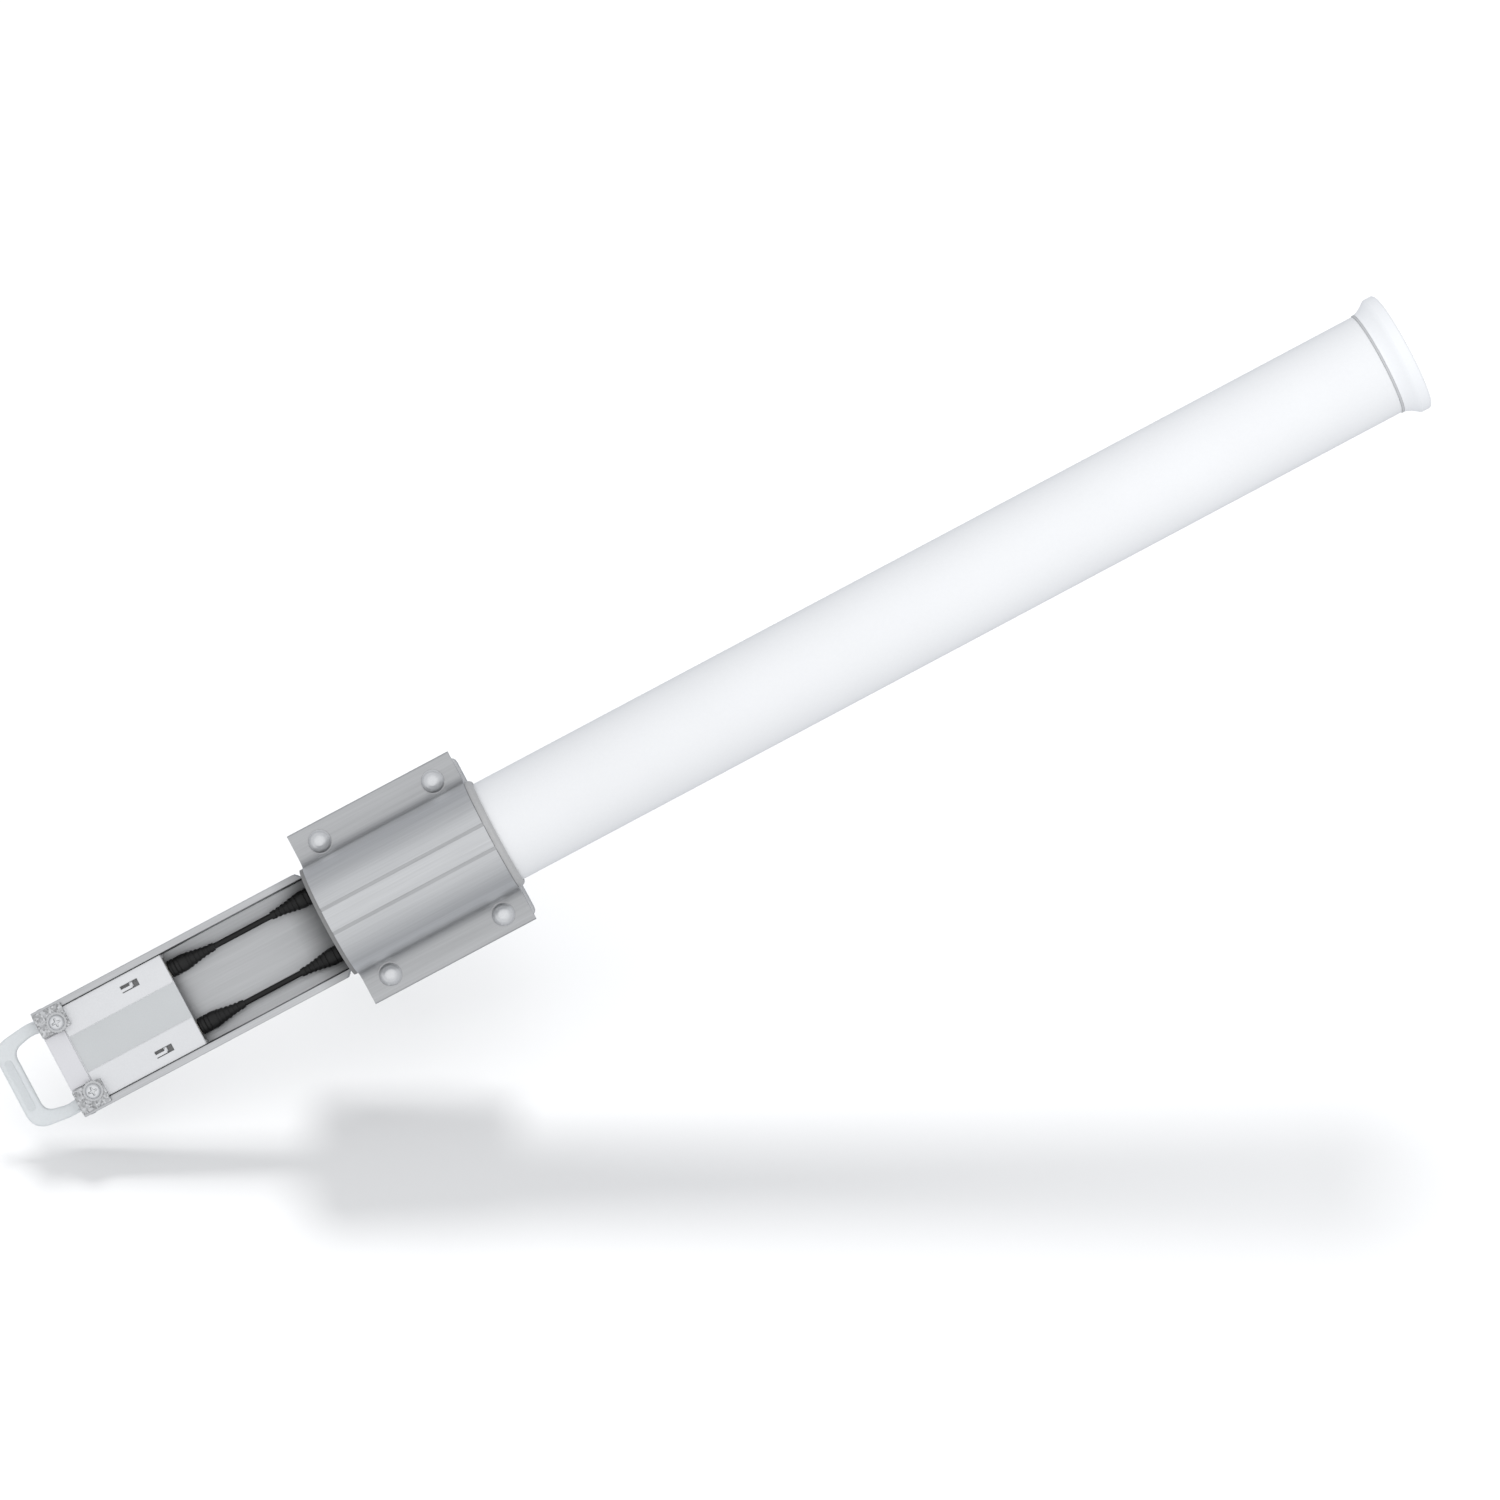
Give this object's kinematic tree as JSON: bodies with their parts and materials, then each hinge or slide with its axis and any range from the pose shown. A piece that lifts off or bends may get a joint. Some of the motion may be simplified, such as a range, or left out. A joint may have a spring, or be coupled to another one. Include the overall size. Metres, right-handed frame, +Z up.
{
  "type": "omnidirectional antenna",
  "caption": "Mast-clamped omnidirectional base station antenna: white radome tube in an aluminium saddle, with a radio carrier channel and jumper leads below.",
  "frame": {"origin": "on the mast's axis, level with the middle of the saddle", "axes": "+Z up the mast and the antenna, -Y to the front where the radio sits, X across"},
  "size_m": [0.095, 0.1442, 0.789],
  "materials": {
    "radome_white": "smooth white fibreglass radome",
    "cap_white": "moulded white",
    "seal_grey": "grey seal",
    "collar_grey": "grey moulded ring",
    "saddle_aluminium": "anodised extrusion, satin",
    "channel_aluminium": "anodised extrusion, satin",
    "jaw_aluminium": "die cast, satin",
    "steel": "zinc plated",
    "bolt_steel": "zinc plated, domed",
    "spring_steel": "spring steel",
    "corner_metal": "stamped, zinc plated",
    "brass": "gold plated",
    "nut_brass": "nickel plated",
    "plug_plastic": "moulded dark grey",
    "rubber_black": "moulded rubber",
    "mount_white": "moulded white plastic",
    "loop_plastic": "translucent moulded plastic",
    "cable_black": "black jacket",
    "boot_black": "black moulded boot",
    "board_green": "circuit board",
    "copper": "copper foil",
    "foam_white": "closed cell foam",
    "coax_grey": "thin coax jacket"
  },
  "bodies": {
    "root": {"radome_tube": "radome_white", "radome_cap": "cap_white", "cap_seal_ring": "seal_grey", "tube_collar": "collar_grey", "saddle": "saddle_aluminium", "tube_set_screws": "steel", "clamp_bolts": "bolt_steel", "base_plug": "plug_plastic", "base_o_ring": "rubber_black", "rf_jack_left": "brass", "rf_jack_right": "brass", "jack_nuts": "steel", "channel": "channel_aluminium", "channel_bracket": "jaw_aluminium", "bracket_screws": "steel", "channel_screws": "steel", "radio_mount": "mount_white", "parking_post_left": "brass", "parking_post_right": "brass", "corner_plates": "corner_metal", "corner_washers": "steel", "corner_screws": "steel", "corner_spacers": "steel", "hinge_pin": "steel", "latch_spring": "spring_steel", "spring_rivet": "steel", "jumper_cable_left": "cable_black", "jumper_cable_right": "cable_black", "array_board": "board_green", "radiating_elements": "copper", "feed_strip": "copper", "foam_spacers": "foam_white", "feed_coax_left": "coax_grey", "feed_coax_right": "coax_grey", "boot_lower_left": "boot_black", "boot_lower_right": "boot_black", "boot_upper_left": "boot_black", "boot_upper_right": "boot_black"},
    "release_loop": {"release_loop": "loop_plastic"},
    "lower_clamp": {"lower_jaw": "jaw_aluminium", "lower_jaw_washers": "steel", "lower_jaw_nuts": "steel"},
    "upper_clamp": {"upper_jaw": "jaw_aluminium", "upper_jaw_washers": "steel", "upper_jaw_nuts": "steel"},
    "coupling_nut_lower_left": {"coupling_nut_lower_left": "nut_brass"},
    "coupling_nut_lower_right": {"coupling_nut_lower_right": "nut_brass"},
    "coupling_nut_upper_left": {"coupling_nut_upper_left": "nut_brass"},
    "coupling_nut_upper_right": {"coupling_nut_upper_right": "nut_brass"}
  },
  "joints": [
    {"name": "loop_release", "type": "hinge", "parent": "root", "child": "release_loop", "pos_m": [0, -0.046, -0.1969], "axis": [1, 0, 0], "range_deg": [-14, 0], "stiffness_Nm_per_rad": 0.12, "springref_deg": 8.59},
    {"name": "lower_clamp_slide", "type": "slide", "parent": "root", "child": "lower_clamp", "axis": [0, 1, 0], "range_m": [-0.01, 0.012]},
    {"name": "upper_clamp_slide", "type": "slide", "parent": "root", "child": "upper_clamp", "axis": [0, 1, 0], "range_m": [-0.01, 0.012]},
    {"name": "coupling_lower_left_turn", "type": "hinge", "parent": "root", "child": "coupling_nut_lower_left", "pos_m": [-0.0162, -0.0486, -0.1295], "axis": [0, 0, 1], "continuous": true},
    {"name": "coupling_lower_right_turn", "type": "hinge", "parent": "root", "child": "coupling_nut_lower_right", "pos_m": [0.0162, -0.0486, -0.1295], "axis": [0, 0, 1], "continuous": true},
    {"name": "coupling_upper_left_turn", "type": "hinge", "parent": "root", "child": "coupling_nut_upper_left", "pos_m": [-0.0162, -0.0486, -0.042], "axis": [0, 0, 1], "continuous": true},
    {"name": "coupling_upper_right_turn", "type": "hinge", "parent": "root", "child": "coupling_nut_upper_right", "pos_m": [0.0162, -0.0486, -0.042], "axis": [0, 0, 1], "continuous": true}
  ]
}
